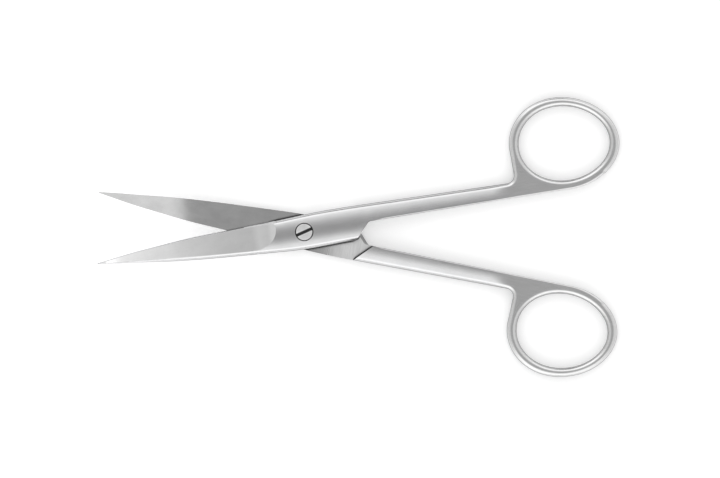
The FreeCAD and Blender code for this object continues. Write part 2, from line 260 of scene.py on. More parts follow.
def step_x(y):
    """Where the step line stands at height y of the plan."""
    return STEP_IN[0] + (STEP_OUT[0] - STEP_IN[0]) * (y - STEP_IN[1]) / (STEP_OUT[1] - STEP_IN[1])


def settle(change, x):
    """Repeats a change until the value stays."""
    for _ in range(20):
        x = change(x)
    return x


class Half:
    """Plan of one half: outer edge, ring and inner edge, shoulder, spine."""

    def __init__(self, side):
        self.side = side
        shift = (FINGER_LONGER if side < 0 else 0.0, 0)
        self.hole = egg(RING_IN, RING_IN_TURN, stretch(0, 360, HOLE_LENGTH)) + shift
        # outer edge from the tip over the step to the corner of the ring
        self.cross_out = settle(lambda x: step_x(float(y_outer(x))), STEP_OUT[0])
        begin = np.array([RUN_FROM, float(y_outer(RUN_FROM))])
        ring_end = egg(RING_OUT, RING_OUT_TURN, RING_TO) + shift
        bend = fillet(begin, np.array(OUTER_EDGE[-1]) + shift, ring_end, CORNER, 10)
        blade = stretch(TIP_X, JOIN_X, BLADE_LENGTH)
        joint = stretch(JOIN_X, self.cross_out, JOINT_LENGTH)
        shank = stretch(self.cross_out, bend[0][0], SHANK_LENGTH)
        xs = np.concatenate([blade, joint, shank])
        ys = y_outer(xs)
        on_run = xs > RUN_FROM
        ys[on_run] = np.interp(xs[on_run], (RUN_FROM, bend[0][0]), (begin[1], bend[0][1]))
        # ring, then the inner edge back to the step
        ring_start = egg(RING_OUT, RING_OUT_TURN, RING_FROM) + shift
        ring = egg(RING_OUT, RING_OUT_TURN, stretch(RING_TO, RING_FROM, RING_LENGTH)) + shift
        slope = (ring_start[1] - INNER_Y) / (ring_start[0] - SHANK_START)
        self.cross_in = settle(lambda x: step_x(INNER_Y + slope * (x - SHANK_START)), STEP_IN[0])
        self.tail = np.array([self.cross_in, INNER_Y + slope * (self.cross_in - SHANK_START)])
        self.lead = np.concatenate([np.stack([xs, ys], -1), bend, straight(bend[-1], ring_end)[1:], ring,
                                    straight(ring_start, self.tail)])
        self.step_at = len(blade) + len(joint)
        way = np.subtract(SHOULDER[1], SHOULDER[0])
        self.way = way / np.linalg.norm(way)
        self.foot = self.shoulder(1.0)[-1]
        self.rims = self.rim_lines()

    def shoulder(self, level):
        """From the step's inner end over the shoulder to the spine edge, at a level from 0 to 1."""
        t = self.way
        a = np.array(SHOULDER[0]) + np.array([-t[1], t[0]]) * SHOULDER_DRAFT * (1 - level)
        corner = a + t * ((INNER_Y - a[1]) / t[1])
        arc = fillet(np.array([SHANK_START + SHOULDER_RUN, INNER_Y]), corner, a, SHOULDER_FILLET, 9)
        run = np.linspace(self.tail, arc[0], 6)[:-1]
        x = settle(lambda x: a[0] + t[0] / t[1] * (float(y_spine(x)) - a[1]), a[0])
        foot = np.array([x, float(y_spine(x))])
        stops = [RIM_OUTER * (1 - math.cos(math.radians(d))) / t[1] for d in RIM_ANGLES]
        line = np.linspace(arc[-1], foot + t * stops[-1], 9)[1:-1]
        near = np.array([foot + t * s for s in reversed(stops)] + [foot])
        return np.concatenate([run, arc, line, near])

    def outline(self, level):
        """Closed outline with the shoulder at a level."""
        side = self.shoulder(level)
        back = stretch(side[-1][0], JOIN_X, BACK_LENGTH)[1:]
        xs = np.concatenate([back, stretch(JOIN_X, TIP_X, BLADE_LENGTH)])
        spine = np.stack([xs, y_spine(xs)], -1)
        tip = np.array([[TIP_X, float(y_spine(TIP_X))]])
        return np.concatenate([self.lead, side, spine, tip])

    def rim_lines(self):
        """Lines with a rounded rim and the radii along them: lead, spine and finger hole."""
        xs = np.linspace(TIP_X, self.foot[0] + SPINE_PAST, steps(SPINE_LENGTH))
        spine = np.stack([xs, y_spine(xs)], -1)
        hole = np.concatenate([self.hole, self.hole[:1]])
        return [(self.lead, self.lead_radii()), (spine, blade_rim(xs, -y_spine(xs))),
                (hole, np.full(len(hole), RIM_HOLE))]

    def lead_radii(self):
        x, y = self.lead.T
        r = blade_rim(x, np.maximum(y_outer(x), 0.02))
        grown = RIM_OUTER + (RIM_RING - RIM_OUTER) * smooth((y - RIM_GROWS[0]) / RIM_GROWS[1])
        r = np.where(x > RUN_FROM, grown, r)
        t = smooth((x - RING_CENTRE[0] + RIM_EARLY) / (2 * RING_OUT[0]))
        inner = (x > self.cross_in - 0.01) & (y < LOW_SIDE)
        r = np.where(inner, RIM_INNER + (RIM_RING - RIM_INNER) * t, r)
        ease = smooth(np.clip((x - self.cross_in) / RIM_EASE, 0.02, 1))
        return np.where(np.arange(len(x)) > len(x) - EASE_POINTS, r * ease, r)


def blade_rim(x, width):
    """Rim radius of the outer side, on the blade no more than its half width and height allow."""
    narrow = np.minimum(RIM_SHARE * width, RIM_DEPTH * blade_top(x))
    return np.where(x < JOIN_X, np.minimum(RIM_OUTER, narrow), RIM_OUTER)


def blade_top(x):
    t = np.maximum(0, (-x - BEND_START) / (-TIP_X - BEND_START))
    return BAR_HALF + (BLADE_TIP_HALF - BAR_HALF) * t


def bar_half(x):
    t = (x - TAPER_FROM) / (FADE_FROM - TAPER_FROM)
    taper = BAR_HALF + (SHANK_END_HALF - BAR_HALF) * np.clip(t, 0, 1)
    s = smooth((x - FADE_FROM) / (FADE_TO - FADE_FROM))
    return taper + (RING_HALF - SHANK_END_HALF) * s


def sag(y, radius):
    return radius - np.sqrt(np.maximum(radius ** 2 - y ** 2, 0))


def crown(x, y):
    fade = 1 - smooth((x - FADE_FROM) / (FADE_TO - FADE_FROM))
    bar = bar_half(x) - sag(np.clip(y, -CROWN_REACH, CROWN_REACH), CROWN_RADIUS) * fade
    blade = blade_top(x) - sag(y, CROWN_RADIUS)
    return np.where(x < JOIN_X, blade, bar)


def distance(points, line, radii):
    """Distance of each point to a polyline and the rim radius there."""
    a = line[:-1]
    d = line[1:] - a
    n = np.maximum((d ** 2).sum(1), 1e-12)
    best = np.zeros(len(points))
    rad = np.zeros(len(points))
    for start in range(0, len(points), CHUNK):
        p = points[start:start + CHUNK]
        v = p[:, None, :] - a[None]
        t = np.clip((v * d[None]).sum(2) / n, 0, 1)
        q = v - t[..., None] * d[None]
        s = (q ** 2).sum(2)
        i = s.argmin(1)
        k = np.arange(len(p))
        best[start:start + CHUNK] = np.sqrt(s[k, i])
        rad[start:start + CHUNK] = radii[i] + (radii[i + 1] - radii[i]) * t[k, i]
    return best, rad


def drop(d, r):
    """How far a rim rounding of radius r lies under the face at distance d from the wall."""
    r = np.maximum(r, 1e-4)
    d = np.where(d < 3e-4, 0, d)
    q = np.clip(1 - d / r, 0, 1)
    return r * (1 - np.sqrt(1 - q * q))


def rounded(half, p):
    """The crowned bar with its rims."""
    z = crown(p[:, 0], p[:, 1])
    for line, radii in half.rims:
        z = z - drop(*distance(p, line, radii))
    return z


def ground(x, y):
    """Ground outer face of the blade over its inner face."""
    xc = np.clip(x, TIP_X, JOIN_X)
    w_in = np.maximum(-y_spine(xc), LEAST_HALF)
    w_out = y_outer(xc)
    back = np.maximum(w_in - np.minimum(GRIND_BACK, RIM_SHARE * w_in), LEAST_BACK)
    high = blade_top(xc) - back ** 2 / (2 * CROWN_RADIUS)
    t = np.clip((RUNOUT_AT - x) / (RUNOUT_AT - TIP_X), 0, 1)
    low = EDGE_THICK + (EDGE_THICK_TIP - EDGE_THICK) * t
    z = high + (low - high) * (y + back) / (back + w_out)
    return z + np.maximum(0, x - RUNOUT_AT) ** 2 / (2 * RUNOUT_RADIUS)


def bevel(x, y):
    """Cutting bevel along the edge of the blade."""
    return (y_outer(x) + BEVEL_RUNOUT * np.maximum(0, x - BEVEL_FROM) - y) / BEVEL_SLOPE


def thickness(half, p):
    """Height of the outer face over the middle plane before the bend, and which face it is."""
    x, y = p.T
    faces = np.full((3, len(p)), FAR)
    faces[CROWN_FACE] = rounded(half, p)
    faces[GROUND_FACE] = np.where(x < JOIN_X, ground(x, y), FAR)
    faces[BEVEL_FACE] = np.where(x < JOIN_X, bevel(x, y), FAR)
    return np.maximum(faces.min(0), RIDE / 2 + LEAST_THICK), faces.argmin(0)


def outer_height(half, p):
    """Height of the outer face with the bend, and which face it is; the finger half has a ground flat."""
    t, face = thickness(half, p)
    bend = np.where(p[:, 0] < JOIN_X, rise(-np.minimum(p[:, 0], 0)), 0)
    h = half.side * bend + t
    if half.side < 0:
        face = np.where(h > MID, LAND_FACE, face)
        h = np.minimum(h, MID)
    return h, face


def inner_height(half, p):
    """Height of the inner face over the middle plane, along the outward direction."""
    return RIDE / 2 + half.side * rise(np.hypot(p[:, 0], p[:, 1]))


def lift(p, z):
    """Points of the plan at their heights."""
    return np.concatenate([p, np.asarray(z, float)[:, None]], 1)


def normals_of(line, closed=False):
    """Unit normals on the right-hand side of a polyline."""
    if closed:
        t = np.roll(line, -1, 0) - np.roll(line, 1, 0)
    else:
        t = np.gradient(line, axis=0)
    t = t / np.linalg.norm(t, axis=1)[:, None]
    return np.stack([t[:, 1], -t[:, 0]], -1)


def rim_loops(line, radii, normals):
    """Lines along a rim, one at each of the rim angles."""
    return [line + normals * (radii * (1 - math.cos(math.radians(a))))[:, None] for a in RIM_ANGLES]


def guide_lines(half):
    """Lines along all rims that the mesh keeps to."""
    (lead, lead_radii), (spine, spine_radii), _ = half.rims
    guides = [loop[lead[:, 0] > GUIDE_FROM] for loop in rim_loops(lead, lead_radii, normals_of(lead))]
    for loop in rim_loops(half.hole, np.full(len(half.hole), RIM_HOLE), normals_of(half.hole, True)):
        guides.append(np.concatenate([loop, loop[:1]]))
    spine_x, spine_y = spine.T
    before = spine_x < half.foot[0] - 0.1
    for a in RIM_ANGLES:
        share = 1 - math.cos(math.radians(a))
        line = np.stack([spine_x, spine_y + spine_radii * share], -1)[before]
        end = half.foot + half.way * (RIM_OUTER * share / half.way[1])
        run = np.linspace(line[-1], end, steps(end[0] - line[-1][0]) + 1)
        line = np.concatenate([line, run[1:]])
        guides.append(line[line[:, 0] > TIP_X + GUIDE_TIP])
    return guides


def bisect(past, a, b):
    """Where a face passes another between a and b; past tells whether a trial lies past it."""
    for _ in range(24):
        m = (a + b) / 2
        f = past(m)
        a = np.where(f, a, m)
        b = np.where(f, m, b)
    return (a + b) / 2


def ground_creases(half):
    """Where the ground face meets the crown: along the blade, then around the run-out."""
    def past(m):
        return (rounded(half, m) < ground(m[:, 0], m[:, 1]))[:, None]

    xs = np.arange(TIP_X + CREASE_TIP, CREASE_TURN, 0.4)
    along = bisect(past, np.stack([xs, np.zeros(len(xs))], -1), np.stack([xs, y_spine(xs) + 1e-3], -1))
    centre = np.array([CREASE_TURN, 0.0])
    angles = np.radians(np.arange(-90, 40, 2.0))
    ways = np.stack([np.cos(angles), np.sin(angles)], -1)
    reach = np.full(len(angles), CREASE_REACH[0])
    for _ in range(60):
        x, y = (centre + ways * reach[:, None]).T
        free = (y > y_spine(x) + 0.01) & (y < y_outer(x) - 0.01) & (reach < CREASE_REACH[1])
        reach = np.where(free, reach + 0.25, reach)
    around = bisect(past, np.repeat(centre[None], len(angles), 0), centre + ways * reach[:, None])
    return np.concatenate([along, around])


def bevel_crease():
    """Where the bevel meets the ground face."""
    xs = np.arange(TIP_X + CREASE_TIP, BEVEL_FROM + 1.5, STEP)
    edge = y_outer(xs)
    return np.stack([xs, bisect(lambda y: bevel(xs, y) <= ground(xs, y), edge - 1.2, edge)], -1)


def land_lines():
    """Edges of the flat under the finger half's joint, up to the thread and the shoulder."""
    xs = np.linspace(*LAND_X, 60)
    y = np.sqrt(2 * CROWN_RADIUS * np.maximum(bar_half(xs) - MID, 0) + TINY)
    out = []
    for sign in (1, -1):
        q = np.stack([xs, sign * y], -1)
        q = q[np.hypot(q[:, 0], q[:, 1]) > THREAD_D / 2 + 0.1]
        q = q[q[:, 0] < SHOULDER[1][0] - 1.2]
        out += [part for part in (q[q[:, 0] < 0], q[q[:, 0] > 0]) if len(part) > 1]
    return out


def circle(radius, n=72):
    a = np.arange(n) * 2 * math.pi / n
    return np.stack([radius * np.cos(a), radius * np.sin(a)], -1)


def beyond_step(line):
    """Parts of an open polyline on the ring's side of the step line."""
    s = line[:, 0] - step_x(line[:, 1])

    def crossing(i):
        return line[i - 1] + (line[i] - line[i - 1]) * (s[i - 1] / (s[i - 1] - s[i]))

    runs = []
    run = []
    for i in range(len(line)):
        if s[i] >= -TINY:
            if not run and i > 0 and s[i - 1] < -TINY and s[i] > TINY:
                run.append(crossing(i))
            run.append(line[i])
        elif run:
            if s[i - 1] > TINY:
                run.append(crossing(i))
            runs.append(run)
            run = []
    return [np.array(r) for r in runs + [run] if len(r) > 1]


def step_points(half, loops):
    """Points along the step line from its inner end, with those where the guide lines cross it."""
    a = half.tail
    b = half.lead[half.step_at]
    marks = [r[k] for r in loops for k in (0, -1) if abs(r[k][0] - step_x(r[k][1])) < 1e-5]
    share = [(m - a) @ (b - a) / ((b - a) @ (b - a)) for m in marks]
    even = [i / STEP_PARTS for i in range(1, STEP_PARTS)]
    share = sorted(share + [e for e in even if min(abs(e - s) for s in share) > 0.02])
    return np.array([a] + [a + (b - a) * s for s in share if 1e-4 < s < 1 - 1e-4] + [b])


def inside(points, poly):
    """Which points lie in a closed polygon."""
    x, y = points.T
    hit = np.zeros(len(points), bool)
    for (x0, y0), (x1, y1) in zip(poly, np.roll(poly, 1, 0)):
        if y0 == y1:
            continue
        k = (y0 > y) != (y1 > y)
        hit[k] ^= x[k] < (x1 - x0) * (y[k] - y0) / (y1 - y0) + x0
    return hit


def in_region(points, outline, holes):
    keep = inside(points, outline)
    for h in holes:
        keep &= ~inside(points, h)
    return keep


def mesh_plan(outline, holes, guides):
    """Triangles of a plan region: its points and faces."""
    lines = [(outline, True)] + [(h, True) for h in holes] + [(g, False) for g in guides]
    edges = []
    at = 0
    for line, closed in lines:
        n = len(line)
        edges += [(at + i, at + i + 1) for i in range(n - 1)]
        if closed:
            edges.append((at + n - 1, at))
        at += n
    lo = outline.min(0)
    hi = outline.max(0)
    gx = np.arange(lo[0], hi[0], GRID)
    gy = np.arange(lo[1], hi[1], GRID * ROW)
    grid = np.array([(x + (GRID / 2 if j % 2 else 0), y) for j, y in enumerate(gy) for x in gx])
    grid = grid[in_region(grid, outline, holes)]
    near = np.full(len(grid), FAR)
    for line, closed in lines:
        run = np.concatenate([line, line[:1]]) if closed else line
        near = np.minimum(near, distance(grid, run, np.zeros(len(run)))[0])
    points = np.concatenate([line for line, _ in lines] + [grid[near > CLEAR_OF_LINES * GRID]])
    done = delaunay_2d_cdt([Vector(p) for p in points], edges, [], 0, 1e-5)
    p = np.array([tuple(v) for v in done[0]])
    f = np.array([tuple(t) for t in done[2] if len(t) == 3])
    keep = in_region(p[f].mean(1), outline, holes)
    fixed = {tuple(sorted(e)) for e, given in zip(done[1], done[4]) if given}
    return p, f[settle_slivers(p, f, keep, fixed)]


def settle_slivers(p, f, keep, fixed):
    """A triangle too thin to place by its middle goes with its neighbour across a free side."""
    a = p[f[:, 1]] - p[f[:, 0]]
    b = p[f[:, 2]] - p[f[:, 0]]
    area = np.abs(a[:, 0] * b[:, 1] - a[:, 1] * b[:, 0])
    side = {}
    for i, t in enumerate(f):
        for k in range(3):
            side.setdefault(tuple(sorted((int(t[k]), int(t[k - 1])))), []).append(i)
    longest = np.max([np.linalg.norm(p[f[:, k]] - p[f[:, k - 1]], axis=1) for k in range(3)], axis=0)
    for i in np.nonzero(area < 1e-3 * longest ** 2)[0]:
        free = [tuple(sorted((int(f[i][k]), int(f[i][k - 1])))) for k in range(3)]
        free = [e for e in free if e not in fixed]
        if free:
            across = max(free, key=lambda e: np.linalg.norm(p[e[0]] - p[e[1]]))
            others = [j for j in side[across] if j != i]
            keep[i] = bool(others) and keep[others[0]]
    return keep


class Body:
    """Collects points and labelled faces."""

    def __init__(self):
        self.points = []
        self.faces = []
        self.labels = []
        self.count = 0

    def add(self, points, faces, labels):
        self.points.append(np.asarray(points, float))
        self.faces += [tuple(int(i) + self.count for i in f) for f in faces]
        self.labels += list(labels)
        self.count += len(points)

    def sheet(self, p, z, faces, label):
        self.add(lift(p, z), faces, [label] * len(faces))

    def band(self, upper, lower, label, closed=True, ends=None):
        """Wall between two lines of as many points; ends are heights of one more point at each end."""
        n = len(upper)
        faces = [(i, (i + 1) % n, n + (i + 1) % n, n + i) for i in range(n if closed else n - 1)]
        extra = np.zeros((0, 3))
        if ends is not None:
            extra = np.array([(*upper[0][:2], ends[0]), (*upper[-1][:2], ends[1])])
            faces[0] = faces[0] + (2 * n,)
            faces[-1] = faces[-1][:2] + (2 * n + 1,) + faces[-1][2:]
        self.add(np.concatenate([upper, lower, extra]), faces, [label] * len(faces))


def make_half(name, side):
    half = Half(side)
    body = Body()
    outer = half.outline(1.0)
    inner = half.outline(0.0)
    n_lead = len(half.lead)
    at_step = half.step_at

    # outer side
    guides = guide_lines(half)
    creases = [ground_creases(half), bevel_crease()]
    bore = circle(RECESS_D / 2 if side > 0 else THREAD_D / 2)
    p, f = mesh_plan(outer, [half.hole, bore], guides + creases + (land_lines() if side < 0 else []))
    body.add(lift(p, outer_height(half, p)[0]), f, outer_height(half, p[f].mean(1))[1])

    # inner side beyond the step: the same crown turned over
    loops = [run for g in guides for run in beyond_step(g)]
    step_line = step_points(half, loops)
    p, f = mesh_plan(np.concatenate([half.lead[at_step:], step_line[:-1]]), [half.hole], loops)
    body.sheet(p, -thickness(half, p)[0], f[:, ::-1], UNDER_FACE)

    # joint and blade: riding face and bowl
    left = np.concatenate([half.lead[:at_step], step_line[::-1], inner[n_lead + 1:]])
    neck = circle(NECK_D / 2 + NECK_CLEAR if side > 0 else THREAD_D / 2)
    p, f = mesh_plan(left, [neck], [])
    body.sheet(p, inner_height(half, p), f[:, ::-1], INNER_FACE)

    def at_top(line):
        return lift(line, outer_height(half, line)[0])

    def at_inner(line):
        return lift(line, inner_height(half, line))

    def at_under(line):
        return lift(line, -thickness(half, line)[0])

    # walls: step, blade and joint, handle, finger hole
    body.band(at_inner(step_line), at_under(step_line), STEP_FACE, closed=False)
    up = at_top(outer)
    low = at_inner(inner)
    upper = np.concatenate([up[n_lead:], up[:at_step + 1]])
    lower = np.concatenate([low[n_lead:], low[:at_step + 1]])
    body.band(upper[::-1], lower[::-1], WALL_FACE, closed=False)
    rim = np.concatenate([half.lead[at_step:], half.tail[None]])[::-1]
    ends = inner_height(half, rim)[[0, -1]]
    body.band(at_top(rim), at_under(rim), WALL_FACE, closed=False, ends=ends)
    body.band(at_top(half.hole), at_under(half.hole), HOLE_FACE)

    # screw seat and hole
    if side > 0:
        floor = np.full(len(bore), BAR_HALF - HEAD_H - SEAT_GAP)
        body.band(at_top(bore), lift(bore, floor), SEAT_FACE)
        body.band(lift(bore, floor), lift(neck, floor), SEAT_FLOOR)
        body.band(lift(neck, floor), at_inner(neck), BORE_FACE)
    else:
        body.band(at_top(bore), at_inner(neck), SEAT_FACE)
    return finish_mesh(name, body, side)


def new_object(name, mesh):
    obj = bpy.data.objects.new(name, mesh)
    bpy.context.scene.collection.objects.link(obj)
    return obj


def finish_mesh(name, body, side):
    """Welds, marks the creases and turns the half to its opened place, in metres."""
    x, y, z = np.concatenate(body.points).T
    y = side * y
    a = math.radians(side * HALF_OPEN)
    p = np.stack([x * math.cos(a) - y * math.sin(a), x * math.sin(a) + y * math.cos(a), MID + side * z], -1)
    mesh = bpy.data.meshes.new(name)
    mesh.from_pydata([tuple(q) for q in p * MM], [], body.faces)
    bm = bmesh.new()
    bm.from_mesh(mesh)
    label = bm.faces.layers.int.new("face")
    for f, tag in zip(bm.faces, body.labels):
        f[label] = int(tag)
        f.smooth = True
    bmesh.ops.remove_doubles(bm, verts=bm.verts, dist=WELD)
    thin = [f for f in bm.faces
            if f.calc_area() < SLIVER_AREA and max(len(e.link_faces) for e in f.edges) > 2]
    bmesh.ops.delete(bm, geom=thin, context="FACES")
    for e in bm.edges:
        if len(e.link_faces) == 2:
            tags = {f[label] for f in e.link_faces}
            runs_over = len(tags) == 1 or tags & {WALL_FACE, HOLE_FACE}
            e.smooth = bool(runs_over) and e.calc_face_angle(0) < math.radians(SHARP_ANGLE)
    bm.to_mesh(mesh)
    bm.free()
    return new_object(name, mesh)


def spin_profile(name, profile, turns=96):
    """Closed body turned about the pivot axis from (radius, height) points in millimetres."""
    verts = []
    faces = []
    for r, z in profile:
        for i in range(turns):
            a = 2 * math.pi * i / turns
            verts.append((r * math.cos(a) * MM, r * math.sin(a) * MM, z * MM))
    for k in range(len(profile) - 1):
        for i in range(turns):
            j = (i + 1) % turns
            faces.append((k * turns + i, k * turns + j, (k + 1) * turns + j, (k + 1) * turns + i))
    faces.append(tuple(range(turns))[::-1])
    faces.append(tuple((len(profile) - 1) * turns + i for i in range(turns)))
    mesh = bpy.data.meshes.new(name)
    mesh.from_pydata(verts, [], faces)
    return new_object(name, mesh)


def screw_profile(top):
    """Thread, neck and head with a rounded upper edge, up to the height of the head's top."""
    seat = top - HEAD_H
    shoulder = MID - RIDE / 2
    profile = [(THREAD_D / 2, 0), (THREAD_D / 2, shoulder), (NECK_D / 2, shoulder), (NECK_D / 2, seat),
               (HEAD_D / 2 - HEAD_FOOT, seat), (HEAD_D / 2, seat + HEAD_FOOT),
               (HEAD_D / 2, top - HEAD_BREAK)]
    for i in range(1, 5):
        a = math.radians(90 * i / 4)
        profile.append((HEAD_D / 2 - HEAD_BREAK * (1 - math.cos(a)), top - HEAD_BREAK * (1 - math.sin(a))))
    return profile


def cut_slot(body, top):
    """Cuts the slot into the screw's head and breaks its edges."""
    bpy.ops.mesh.primitive_cube_add(size=1)
    cutter = bpy.context.object
    cutter.scale = (2 * HEAD_D * MM, SLOT_W * MM, 2 * SLOT_DEEP * MM)
    cutter.location = (0, 0, top * MM)
    cutter.rotation_euler = (0, 0, math.radians(SLOT_ANGLE))
    cut = body.modifiers.new("slot", "BOOLEAN")
    cut.operation = "DIFFERENCE"
    cut.solver = "EXACT"
    cut.object = cutter
    edge = body.modifiers.new("breaks", "BEVEL")
    edge.width = SLOT_BREAK * MM
    edge.segments = 2
    edge.limit_method = "ANGLE"
    edge.angle_limit = math.radians(50)
    bpy.context.view_layer.update()
    mesh = bpy.data.meshes.new_from_object(body.evaluated_get(bpy.context.evaluated_depsgraph_get()))
    body.modifiers.clear()
    body.data = mesh
    bpy.data.objects.remove(cutter)
    mesh.shade_smooth()
    mesh.set_sharp_from_angle(angle=math.radians(35))


def make_screw(name):
    """The screw; the faces in its slot and down its side get the second material, the painted shade."""
    top = MID + BAR_HALF
    body = spin_profile(name, screw_profile(top))
    cut_slot(body, top)
    a = math.radians(SLOT_ANGLE)
    for f in body.data.polygons:
        x, y, z = (c / MM for c in f.center)
        in_slot = abs(-x * math.sin(a) + y * math.cos(a)) < SLOT_W / 2 + 0.005
        in_slot = in_slot and top - SLOT_DEEP - 0.001 < z < top - 0.02
        f.material_index = 1 if in_slot or z < top - HEAD_LIT else 0
    return body


# Materials
NOISE_SPAN = (0.3, 0.7)         # nearly all of a noise lies in this range


def new_material(name):
    m = bpy.data.materials.new(name)
    m.use_nodes = True
    m.node_tree.nodes.clear()
    return m, m.node_tree.nodes, m.node_tree.links


def add(nodes, kind, **settings):
    node = nodes.new("ShaderNode" + kind)
    for key, value in settings.items():
        setattr(node, key, value)
    return node


def feed(links, value, socket):
    """Links an output to a socket, or sets the socket to a plain value."""
    if isinstance(value, bpy.types.NodeSocket):
        links.new(value, socket)
    else:
        socket.default_value = value


def work_out(nodes, links, operation, *values):
    """Result of a math node on outputs and numbers."""
    node = add(nodes, "Math", operation=operation)
    for i, value in enumerate(values):
        feed(links, value, node.inputs[i])
    return node.outputs[0]


def map_range(nodes, links, value, span, to=(0, 1), kind="LINEAR"):
    """Value carried from a span to another range, whose ends may be outputs."""
    node = add(nodes, "MapRange", interpolation_type=kind)
    node.inputs["From Min"].default_value = span[0]
    node.inputs["From Max"].default_value = span[1]
    feed(links, to[0], node.inputs["To Min"])
    feed(links, to[1], node.inputs["To Max"])
    links.new(value, node.inputs["Value"])
    return node.outputs[0]


def ramp(nodes, links, value, stops, colour=(1, 1, 1)):
    """Colour times a level that follows the value between two (value, level) stops."""
    node = add(nodes, "ValToRGB")
    for e, (at, level) in zip(node.color_ramp.elements, stops):
        e.position = at
        e.color = (*(level * c for c in colour), 1)
    links.new(value, node.inputs[0])
    return node.outputs[0]


def mix(nodes, links, blend, factor, a, b):
    node = add(nodes, "Mix", data_type="RGBA", blend_type=blend)
    feed(links, factor, node.inputs["Factor"])
    links.new(a, node.inputs["A"])
    links.new(b, node.inputs["B"])
    return node.outputs["Result"]


def turned_place(nodes, links, turn, scale=(1, 1, 1)):
    """Place on the object, turned with its half and divided by a scale."""
    coord = add(nodes, "TexCoord")
    place = add(nodes, "Mapping", vector_type="TEXTURE")
    place.inputs["Rotation"].default_value = (0, 0, math.radians(turn))
    place.inputs["Scale"].default_value = scale
    links.new(coord.outputs["Object"], place.inputs[0])
    return place.outputs[0]


def grain(nodes, links, turn, along, across, detail=6):
    """Noise drawn out along one direction of the plan: cell sizes in millimetres."""
    noise = add(nodes, "TexNoise")
    noise.inputs["Scale"].default_value = 1.0
    noise.inputs["Detail"].default_value = detail
    noise.inputs["Roughness"].default_value = 0.65
    links.new(turned_place(nodes, links, turn, (along * MM, across * MM, 3 * MM)), noise.inputs["Vector"])
    return noise.outputs["Fac"]


def shaded(nodes, links, colour, near, stops):
    """Painted shade: darkens a colour where other surfaces lie closer than near, in millimetres."""
    open_part = add(nodes, "AmbientOcclusion", samples=16)
    open_part.inputs["Distance"].default_value = near * MM
    return mix(nodes, links, "MULTIPLY", 1.0, colour, ramp(nodes, links, open_part.outputs["AO"], stops))


def along_half(nodes, links, turn, span, to):
    """A value that goes from one to another over a span of the half's length, in millimetres."""
    split = add(nodes, "SeparateXYZ")
    links.new(turned_place(nodes, links, turn), split.inputs[0])
    return map_range(nodes, links, split.outputs["X"], [x * MM for x in span], to, "SMOOTHSTEP")


def steel(name, colour, rough, turn, along, across, bump, cloud=0.03, near=0.6,
          gap=((0.25, 0.12), (0.85, 1.0)), beyond=None, grind=0):
    """Ground steel.

    The colour varies by the share cloud, and the roughness goes over its range with the grain. The grain
    runs at the angle grind to the half, with cells of along by across and height bump. Painted shade: where
    other surfaces lie closer than near, in gaps, corners and on sides close to the floor, the colour is
    darkened by the stops of gap. Beyond holds a span of the half's length with the roughness and colour
    that the steel takes on over it. Lengths are in millimetres.
    """
    m, nodes, links = new_material(name)
    out = add(nodes, "OutputMaterial")
    shader = add(nodes, "BsdfPrincipled")
    shader.inputs["Metallic"].default_value = 1.0
    lines = grain(nodes, links, turn + grind, along, across)
    blotch = grain(nodes, links, turn, 5, 3, 3)
    face = ramp(nodes, links, blotch, list(zip(NOISE_SPAN, (1 - cloud, 1 + cloud))), colour)
    if beyond:
        span, rough_there, colour_there = beyond
        dull = ramp(nodes, links, lines, list(zip(NOISE_SPAN, (1 - 2 * cloud, 1 + 2 * cloud))), colour_there)
        face = mix(nodes, links, "MIX", along_half(nodes, links, turn, span, (0, 1)), face, dull)
        rough = [along_half(nodes, links, turn, span, ends) for ends in zip(rough, rough_there)]
    links.new(shaded(nodes, links, face, near, gap), shader.inputs["Base Color"])
    links.new(map_range(nodes, links, lines, NOISE_SPAN, rough), shader.inputs["Roughness"])
    height = add(nodes, "Bump")
    height.inputs["Strength"].default_value = 1.0
    height.inputs["Distance"].default_value = bump * MM
    links.new(lines, height.inputs["Height"])
    links.new(height.outputs[0], shader.inputs["Normal"])
    links.new(shader.outputs[0], out.inputs[0])
    return m


# Painted shade: near-black steel for the step, seat and bore faces and the screw's slot and side, where
# shade falls
def painted_shade_steel(name):
    m, nodes, links = new_material(name)
    out = add(nodes, "OutputMaterial")
    shader = add(nodes, "BsdfPrincipled")
    shader.inputs["Metallic"].default_value = 0.6
    shader.inputs["Roughness"].default_value = 0.6
    tone = ramp(nodes, links, grain(nodes, links, 0, 0.4, 0.4), list(zip(NOISE_SPAN, (0.035, 0.08))))
    links.new(tone, shader.inputs["Base Color"])
    links.new(shader.outputs[0], out.inputs[0])
    return m


STEEL = (0.76, 0.76, 0.765)
BRIGHT = (0.88, 0.88, 0.88)
INNER = (0.82, 0.82, 0.82)
DULL = (0.56, 0.56, 0.565)
RING = (0.8, 0.8, 0.8)
RIDDEN = (0.78, 0.78, 0.78)
TURNED = (0.86, 0.86, 0.86)
WEB = (FADE_FROM - 1, FADE_TO + 2)      # where the shank's finish turns to that of the ring
RIDING = (2, 13)                        # the same on the inner face, at the joint
ACROSS = 90                             # grain across the half, degrees

shade = painted_shade_steel("seat_painted_shade")
turned = steel("turned_steel", TURNED, (0.36, 0.5), 30, 0.5, 0.3, 0.002, cloud=0.1)

# Finish of each face of a half; the shade finish is painted shade, near-black on the step, seat and bore
# faces
FINISH_OF = {CROWN_FACE: "satin", GROUND_FACE: "ground", BEVEL_FACE: "bevel", LAND_FACE: "satin",
             UNDER_FACE: "satin", INNER_FACE: "inner", STEP_FACE: "shade", WALL_FACE: "satin",
             HOLE_FACE: "satin", SEAT_FACE: "shade", SEAT_FLOOR: "shade", BORE_FACE: "shade"}


